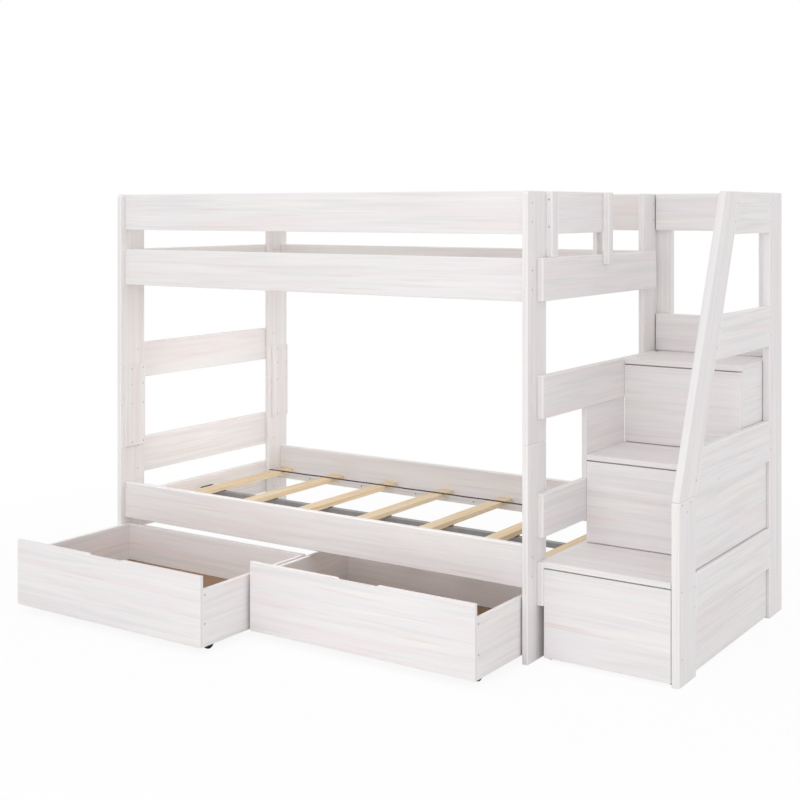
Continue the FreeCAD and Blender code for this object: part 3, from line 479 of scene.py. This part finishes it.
def finished(shape, name, body, material, replaced=()):
    """Turns a bmesh into a piece that rides a body."""
    mesh = bpy.data.meshes.new(name)
    shape.to_mesh(mesh)
    shape.free()
    piece = bpy.data.objects.new(name, mesh)
    bpy.context.scene.collection.objects.link(piece)
    mesh.materials.append(material)
    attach(piece, body)
    if replaced:
        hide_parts(*replaced)
    return piece


def cube_between(shape, lowest, highest):
    """Adds a box between two corners."""
    place_and_size = Matrix.Translation((lowest + highest) / 2) @ Matrix.Diagonal((*(highest - lowest), 1))
    return bmesh.ops.create_cube(shape, size=1.0, matrix=place_and_size)


def cap(shape, centre, outward, radius, bulge):
    """Adds a low round head that faces along X."""
    turn = Matrix.Rotation(outward * math.pi / 2, 4, "Y")
    bmesh.ops.create_uvsphere(shape, u_segments=16, v_segments=8, radius=radius,
                              matrix=Matrix.Translation(centre) @ turn @ Matrix.Diagonal((1, 1, bulge, 1)))


def block(shape, lowest, highest, rounding=0.0, segments=2):
    """Adds a box between two corners, its edges rounded."""
    made = cube_between(shape, lowest, highest)
    if rounding:
        edges = list({edge for vertex in made["verts"] for edge in vertex.link_edges})
        bmesh.ops.bevel(shape, geom=edges, offset=rounding, offset_type="OFFSET", affect="EDGES",
                        segments=segments, profile=0.5, material=-1, clamp_overlap=True)


# ---- Operators ----
def free_way(trees, start, direction):
    """How far a ray runs before it meets another node."""
    nearest = 1.0
    for tree in trees:
        hit = tree.ray_cast(start, direction, nearest)
        if hit[3] is not None:
            nearest = min(nearest, hit[3])
    return nearest


def screw_shape(head_radius, run, fitting, cells):
    """A screw along +Z whose head is at the origin: a rim round a recess, a neck, a shank and a point."""
    shape = bmesh.new()
    half = head_radius * fitting.recess_share
    bmesh.ops.create_grid(shape, x_segments=3, y_segments=3, size=half)
    centre_cell = half / 3
    recess = [face for face in shape.faces
              if cells(abs(face.calc_center_median().x) < centre_cell,
                       abs(face.calc_center_median().y) < centre_cell)]
    rim = [edge for edge in shape.edges if edge.is_boundary]
    bmesh.ops.create_circle(shape, segments=12, radius=head_radius, cap_ends=False)
    outer = [edge for edge in shape.edges if edge.is_boundary and edge not in rim]
    bmesh.ops.bridge_loops(shape, edges=rim + outer)
    sunk = bmesh.ops.extrude_face_region(shape, geom=recess)
    bmesh.ops.delete(shape, geom=recess, context="FACES_ONLY")
    floor = [item for item in sunk["geom"] if isinstance(item, bmesh.types.BMVert)]
    bmesh.ops.translate(shape, verts=floor, vec=(0, 0, fitting.recess_depth))
    ring = [edge for edge in shape.edges if edge.is_boundary]
    shank = head_radius * fitting.shank_share
    for radius, depth in ((head_radius, fitting.head_rim), (shank, fitting.head_depth),
                          (shank, run - fitting.point_length), (fitting.point_radius, run)):
        raised = bmesh.ops.extrude_edge_only(shape, edges=ring)["geom"]
        verts = [item for item in raised if isinstance(item, bmesh.types.BMVert)]
        ring = [item for item in raised if isinstance(item, bmesh.types.BMEdge)]
        for vertex in verts:
            flat = Vector((vertex.co.x, vertex.co.y))
            vertex.co.x, vertex.co.y = flat.normalized() * radius
            vertex.co.z = depth
    bmesh.ops.holes_fill(shape, edges=ring, sides=0)
    bmesh.ops.recalc_face_normals(shape, faces=shape.faces)
    return shape


class BUNK_OT_boards(bpy.types.Operator):
    """Gives every wooden board and panel its stain and grain, and the other nodes their finish"""
    bl_idname = "bunk_bed.boards"
    bl_label = "Finish the boards"

    def execute(self, context):
        materials = make_materials()
        tones = settings().whitewash
        for name, node in NODES.items():
            slot = SLOTS[name]
            if name == "handrail":
                low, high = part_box(name)
                width = handrail_width(node, low.z)
                lean = math.atan2(high.y - low.y - width, high.z - low.z)
                dress(node, wood("whitewash_lean", tones, "lean", turn=(-lean, 0, 0)))
            elif name == "stair_back_wall":
                dress(node, materials[slot, "x"], materials[slot, "z"])
                low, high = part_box(name)
                middle = (low.y + high.y) / 2
                for face in node.data.polygons:
                    inside = face.center.y - face.normal.y * MM
                    face.material_index = int(inside > middle)
            elif name == "centre_beams":
                dress(node, materials["beam"])
            elif slot in ("whitewash", "pine"):
                grain = grain_of(name)
                if name.startswith("post_") and name.endswith("_upper"):
                    grain = "upper"
                dress(node, materials[slot, grain])
            else:
                dress(node, materials[slot])
        return {"FINISHED"}


def handrail_width(node, floor):
    """The level width of the handrail at its foot."""
    foot = [vertex.co.y for vertex in node.data.vertices if vertex.co.z < floor + MM]
    return max(foot) - min(foot)


class BUNK_OT_screws(bpy.types.Operator):
    """Puts a screw with a cross recess, or a slotted connector, in each screw's place"""
    bl_idname = "bunk_bed.screws"
    bl_label = "Fit the screws"

    def execute(self, context):
        fitting = settings().fitting
        trees = []
        for name, node in NODES.items():
            if SLOTS[name] in ("whitewash", "pine"):
                tree_shape = bmesh.new()
                tree_shape.from_mesh(node.data)
                trees.append(BVHTree.FromBMesh(tree_shape))
                tree_shape.free()
        for name, title in (("frame_screws", "frame_screw_set"), ("plate_screws", "plate_screw_set"),
                            ("slat_screws", "slat_screw_set"), ("side_connectors", "side_connector_set")):
            slotted = name == "side_connectors"

            def cells(in_column, in_row, slotted=slotted):
                return in_column if slotted else in_column or in_row
            whole = bmesh.new()
            for lowest, highest in islands(name):
                size = highest - lowest
                axis = max(range(3), key=lambda number: size[number])
                radius = min(size) / 2
                middle = (lowest + highest) / 2
                inward = Vector((0, 0, 0))
                inward[axis] = 1
                ends = {1: middle - inward * size[axis] / 2, -1: middle + inward * size[axis] / 2}
                side = max(ends, key=lambda sign: free_way(trees, ends[sign], -sign * inward))
                one = screw_shape(radius, size[axis], fitting, cells)
                turn = Vector((0, 0, 1)).rotation_difference(inward * side).to_matrix().to_4x4()
                bmesh.ops.transform(one, matrix=Matrix.Translation(ends[side]) @ turn, verts=one.verts)
                mesh = bpy.data.meshes.new("one_screw")
                one.to_mesh(mesh)
                one.free()
                whole.from_mesh(mesh)
                bpy.data.meshes.remove(mesh)
            tone = "screw_yellow" if name == "slat_screws" else "screw_zinc"
            finished(whole, title, "root", bpy.data.materials[tone], (name,))
        return {"FINISHED"}


class BUNK_OT_drawer_caps(bpy.types.Operator):
    """Caps the screws that hold each drawer box to its front"""
    bl_idname = "bunk_bed.drawer_caps"
    bl_label = "Cap the drawer screws"

    def execute(self, context):
        fitting = settings().fitting
        for side in ("left", "right"):
            caps = bmesh.new()
            low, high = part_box(f"drawer_box_{side}")
            y = low.y + fitting.cap_setback
            for height in (fitting.cap_low, fitting.cap_high):
                for x, outward in ((low.x, -1), (high.x, 1)):
                    centre = Vector((x - outward * fitting.cap_sink, y, height))
                    cap(caps, centre, outward, fitting.cap_radius, fitting.cap_bulge)
            finished(caps, f"drawer_caps_{side}", f"drawer_{side}",
                     bpy.data.materials["screw_zinc"])
        return {"FINISHED"}


class BUNK_OT_webbing(bpy.types.Operator):
    """Lays the webbing over the slats, with a little sag between them, and staples it down"""
    bl_idname = "bunk_bed.webbing"
    bl_label = "Lay the webbing"

    def execute(self, context):
        fitting = settings().fitting
        straps = bmesh.new()
        staples = bmesh.new()
        slats = islands("slats_lower")
        for lowest, highest in islands("slat_straps"):
            size = highest - lowest
            middle = (lowest + highest) / 2
            before = set(straps.verts)
            flat = Matrix.Translation(middle) @ Matrix.Diagonal((size.x / 2, size.y / 2, 1, 1))
            bmesh.ops.create_grid(straps, x_segments=fitting.strap_steps, y_segments=4, size=1, matrix=flat)
            new = [vertex for vertex in straps.verts if vertex not in before]
            for vertex in new:
                vertex.co.z = middle.z - sag_at(vertex.co.x, slats, fitting.strap_sag)
            faces = list({face for vertex in new for face in vertex.link_faces})
            bmesh.ops.recalc_face_normals(straps, faces=faces)
            bmesh.ops.solidify(straps, geom=faces + new, thickness=size.z * fitting.strap_share)
            reach = Vector((fitting.staple_reach, fitting.staple_wire, fitting.staple_rise))
            for low, high in slats:
                across = (low.x + high.x) / 2
                for offset in (-fitting.staple_inset, fitting.staple_inset):
                    centre = Vector((across, middle.y + offset * size.y, highest.z))
                    block(staples, centre - reach, centre, fitting.staple_round, 1)
        finished(straps, "webbing_straps", "root", bpy.data.materials["webbing"], ("slat_straps",))
        finished(staples, "webbing_staples", "root", bpy.data.materials["screw_zinc"])
        return {"FINISHED"}


def sag_at(x, slats, deepest):
    """How far a strap hangs below the tops of the slats at a place along the bed."""
    for (low, high), (next_low, next_high) in zip(slats, slats[1:]):
        if high.x < x < next_low.x:
            share_along = (x - high.x) / (next_low.x - high.x)
            return deepest * math.sin(math.pi * share_along) ** 2
    return 0.0


class BUNK_OT_castors(bpy.types.Operator):
    """Turns each castor wheel with a tyre, a sunk web and a hub, and rivets its axle"""
    bl_idname = "bunk_bed.castors"
    bl_label = "Make the castors"

    def execute(self, context):
        fitting = settings().fitting
        rubber = bpy.data.materials["wheel_rubber"]
        steel = bpy.data.materials["zinc_steel"]
        for side in ("left", "right"):
            for row in ("front", "rear"):
                name = f"wheels_{side}_{row}"
                whole = bmesh.new()
                for lowest, highest in islands(name):
                    wheel(whole, lowest, highest, fitting)
                finished(whole, f"castor_wheels_{side}_{row}", name, rubber, (name,))
            rivets = bmesh.new()
            for row in ("front", "rear"):
                for lowest, highest in islands(f"wheels_{side}_{row}"):
                    rivet(rivets, lowest, highest, fitting)
            finished(rivets, f"castor_rivets_{side}", f"drawer_{side}", steel)
        return {"FINISHED"}


def wheel(shape, lowest, highest, fitting):
    """A castor wheel, turned from its profile round its axle."""
    middle = (lowest + highest) / 2
    half = (highest.x - lowest.x) / 2
    radius = (highest.z - lowest.z) / 2
    rounding = fitting.tyre_round
    web = radius - fitting.tyre_depth
    profile = [(half, fitting.wheel_bore), (half, fitting.hub_radius),
               (half - fitting.web_recess, fitting.hub_radius + MM),
               (half - fitting.web_recess, web - MM), (half - fitting.tyre_lip, web)]
    for step in range(TYRE_STEPS + 1):
        angle = step / TYRE_STEPS * math.pi / 2
        profile.append((half - rounding + rounding * math.cos(angle),
                        radius - rounding + rounding * math.sin(angle)))
    mirrored = [(-across, out) for across, out in reversed(profile)]
    ring = []
    for across, out in profile + mirrored:
        ring.append(shape.verts.new(middle + Vector((across, 0, out))))
    edges = [shape.edges.new((first, second)) for first, second in zip(ring, ring[1:] + ring[:1])]
    bmesh.ops.spin(shape, geom=ring + edges, cent=middle, axis=(1, 0, 0), dvec=(0, 0, 0),
                   angle=math.tau, steps=fitting.wheel_steps, use_merge=True)
    bmesh.ops.remove_doubles(shape, verts=shape.verts, dist=1e-6)
    bmesh.ops.recalc_face_normals(shape, faces=shape.faces)


def rivet(shape, lowest, highest, fitting):
    """The peened ends of an axle, on the outer faces of its fork."""
    middle = (lowest + highest) / 2
    for sign in (-1, 1):
        face = middle.x + sign * ((highest.x - lowest.x) / 2 + fitting.fork_reach)
        centre = Vector((face + sign * fitting.rivet_height / 2, middle.y, middle.z))
        turn = Matrix.Rotation(math.pi / 2, 4, "Y")
        made = bmesh.ops.create_cone(shape, cap_ends=True, segments=20, radius1=fitting.rivet_radius,
                                     radius2=fitting.rivet_radius, depth=fitting.rivet_height,
                                     matrix=Matrix.Translation(centre) @ turn)
        rims = list({edge for vertex in made["verts"] for edge in vertex.link_edges
                     if len(edge.link_faces) == 2 and any(len(face.verts) > 4 for face in edge.link_faces)})
        bmesh.ops.bevel(shape, geom=rims, offset=fitting.rivet_round, offset_type="OFFSET",
                        affect="EDGES", segments=2, profile=0.5, material=-1, clamp_overlap=True)


class BUNK_OT_brackets(bpy.types.Operator):
    """Makes the beam brackets: a plate with rounded corners, a cradle for the beam and two screws"""
    bl_idname = "bunk_bed.brackets"
    bl_label = "Make the beam brackets"

    def execute(self, context):
        fitting = settings().fitting
        plates = bmesh.new()
        screws = bmesh.new()
        beams = islands("centre_beams")
        for lowest, highest in islands("beam_brackets"):
            inward = 1 if (lowest.x + highest.x) < 0 else -1
            inner = highest.x if inward > 0 else lowest.x
            low, high = min(beams, key=lambda beam: abs(beam[0].z - lowest.z))
            plate(plates, lowest, highest, fitting.plate_corner)
            wall = highest.x - lowest.x
            cradle_x = sorted((inner, inner + inward * fitting.cradle_depth))
            gap = fitting.cradle_gap
            sides = high.z - fitting.cradle_drop
            for y_low, y_high, z_high in ((low.y - gap - wall, low.y - gap, sides),
                                          (high.y + gap, high.y + gap + wall, sides),
                                          (low.y - gap - wall, high.y + gap + wall, low.z - gap)):
                z_low = low.z - gap - wall
                block(plates, Vector((cradle_x[0], y_low, z_low)), Vector((cradle_x[1], y_high, z_high)),
                      fitting.cradle_round)
            for y in (lowest.y + fitting.bracket_screw_inset, highest.y - fitting.bracket_screw_inset):
                face = inner + inward * fitting.bracket_screw_lift
                centre = Vector((face, y, (lowest.z + highest.z) / 2))
                cap(screws, centre, inward, fitting.bracket_screw, fitting.bracket_screw_bulge)
        coating = bpy.data.materials["dark_coating"]
        finished(plates, "beam_bracket_set", "root", coating, ("beam_brackets",))
        finished(screws, "bracket_screws", "root", bpy.data.materials["screw_zinc"])
        return {"FINISHED"}


def plate(shape, lowest, highest, corner):
    """Adds a plate square to X with rounded corners."""
    made = cube_between(shape, lowest, highest)
    corners = [edge for edge in {edge for vertex in made["verts"] for edge in vertex.link_edges}
               if abs((edge.verts[0].co - edge.verts[1].co).normalized().x) > 0.9]
    bmesh.ops.bevel(shape, geom=corners, offset=corner, offset_type="OFFSET", affect="EDGES", segments=5,
                    profile=0.5, material=-1, clamp_overlap=True)


class BUNK_OT_stage(bpy.types.Operator):
    """Sets up the pale floor, the soft lights and the camera"""
    bl_idname = "bunk_bed.stage"
    bl_label = "Set up the stage"

    def execute(self, context):
        stage = settings().stage
        make_floor(stage)
        make_world(stage)
        lamps = (("key_light", stage.key_power, stage.key_size, stage.key_size, math.pi,
                  stage.key_place, stage.aim),
                 ("fill_light", stage.fill_power, stage.fill_size, stage.fill_size, math.pi,
                  stage.fill_place, stage.aim),
                 ("top_light", stage.top_power, stage.top_size, stage.top_size, math.pi,
                  stage.top_place, stage.aim),
                 ("inner_light", stage.inner_power, stage.inner_size, stage.inner_size, stage.inner_spread,
                  stage.inner_place, stage.inner_aim),
                 ("rail_light", stage.rail_power, stage.rail_length, stage.rail_width, stage.rail_spread,
                  stage.rail_place, stage.rail_aim))
        for name, strength, across, along, spread, stand, target in lamps:
            lamp = bpy.data.lights.new(name, "AREA")
            lamp.energy = strength
            lamp.shape = "RECTANGLE"
            lamp.size = across
            lamp.size_y = along
            lamp.spread = spread
            holder = bpy.data.objects.new(name, lamp)
            context.scene.collection.objects.link(holder)
            holder.location = stand
            aim = Vector(target) - Vector(stand)
            holder.rotation_euler = aim.to_track_quat("-Z", "Y").to_euler()
            holder.visible_camera = False
        camera = bpy.data.cameras.new("camera")
        camera.lens = stage.camera_lens
        camera.sensor_width = stage.camera_sensor
        camera.shift_y = stage.camera_shift
        holder = bpy.data.objects.new("camera", camera)
        context.scene.collection.objects.link(holder)
        holder.location = stage.camera_place
        holder.rotation_euler = (math.pi / 2, 0, stage.camera_yaw)
        context.scene.camera = holder
        context.scene.view_settings.view_transform = "Standard"
        return {"FINISHED"}


def make_floor(stage):
    shape = bmesh.new()
    bmesh.ops.create_grid(shape, x_segments=1, y_segments=1, size=stage.floor_reach)
    mesh = bpy.data.meshes.new("studio_floor")
    shape.to_mesh(mesh)
    shape.free()
    floor = bpy.data.objects.new("studio_floor", mesh)
    bpy.context.scene.collection.objects.link(floor)
    finish = Finish("studio_floor")
    finish.shade(Base_Color=(*stage.floor, 1), Roughness=0.9)
    glow = finish.add("ShaderNodeEmission", {"Color": (1, 1, 1), "Strength": 1.0})
    path = finish.add("ShaderNodeLightPath")
    far = finish.add("ShaderNodeVectorMath", {"Vector": finish.texture.outputs["Object"]}, operation="LENGTH")
    pale = finish.spread(far.outputs["Value"], stage.glow_start, stage.glow_end, stage.floor_glow, 1.0)
    seen = finish.sum(path.outputs["Is Camera Ray"], pale, "MULTIPLY")
    both = finish.add("ShaderNodeMixShader", {"Fac": seen})
    finish.feed(both.inputs[1], finish.shader.outputs["BSDF"])
    finish.feed(both.inputs[2], glow.outputs["Emission"])
    output = finish.tree.nodes["Material Output"]
    finish.feed(output.inputs["Surface"], both.outputs["Shader"])
    mesh.materials.append(finish.material)


def make_world(stage):
    """Even light, and plain white behind the object."""
    world = bpy.data.worlds.new("studio_world")
    bpy.context.scene.world = world
    world.use_nodes = True
    tree = world.node_tree
    even = tree.nodes["Background"]
    even.inputs["Color"].default_value = (1, 1, 1, 1)
    even.inputs["Strength"].default_value = stage.world_strength
    white = tree.nodes.new("ShaderNodeBackground")
    white.inputs["Color"].default_value = (1, 1, 1, 1)
    white.inputs["Strength"].default_value = 1.0
    path = tree.nodes.new("ShaderNodeLightPath")
    shown = path.outputs["Is Camera Ray"]
    for kind in ("Is Glossy Ray", "Is Transmission Ray"):
        either = tree.nodes.new("ShaderNodeMath")
        either.operation = "MAXIMUM"
        tree.links.new(shown, either.inputs[0])
        tree.links.new(path.outputs[kind], either.inputs[1])
        shown = either.outputs["Value"]
    both = tree.nodes.new("ShaderNodeMixShader")
    tree.links.new(shown, both.inputs["Fac"])
    tree.links.new(even.outputs["Background"], both.inputs[1])
    tree.links.new(white.outputs["Background"], both.inputs[2])
    tree.links.new(both.outputs["Shader"], tree.nodes["World Output"].inputs["Surface"])


class BUNK_PT_panel(bpy.types.Panel):
    """Lists the steps that finish the bunk bed"""
    bl_idname = "BUNK_PT_panel"
    bl_label = "Bunk bed"
    bl_space_type = "VIEW_3D"
    bl_region_type = "UI"
    bl_category = "Bunk bed"

    def draw(self, context):
        for step in STEPS:
            self.layout.operator(step.bl_idname)
        for group in ("whitewash", "pine", "finish", "fitting", "stage"):
            box = self.layout.box()
            values = getattr(context.scene.bunk_bed, group)
            for name in values.bl_rna.properties.keys():
                if name not in ("rna_type", "name"):
                    box.prop(values, name)


STEPS = (BUNK_OT_boards, BUNK_OT_screws, BUNK_OT_drawer_caps, BUNK_OT_webbing, BUNK_OT_castors,
         BUNK_OT_brackets, BUNK_OT_stage)
GROUPS = (WhitewashSettings, PineSettings, FinishSettings, FittingSettings, StageSettings, BedSettings)


def register():
    for kind in GROUPS + STEPS + (BUNK_PT_panel,):
        bpy.utils.register_class(kind)
    bpy.types.Scene.bunk_bed = PointerProperty(type=BedSettings)


def unregister():
    del bpy.types.Scene.bunk_bed
    for kind in reversed(GROUPS + STEPS + (BUNK_PT_panel,)):
        bpy.utils.unregister_class(kind)


def main():
    register()
    bpy.ops.bunk_bed.boards()
    bpy.ops.bunk_bed.screws()
    bpy.ops.bunk_bed.drawer_caps()
    bpy.ops.bunk_bed.webbing()
    bpy.ops.bunk_bed.castors()
    bpy.ops.bunk_bed.brackets()
    bpy.ops.bunk_bed.stage()


if __name__ == "__main__":
    main()
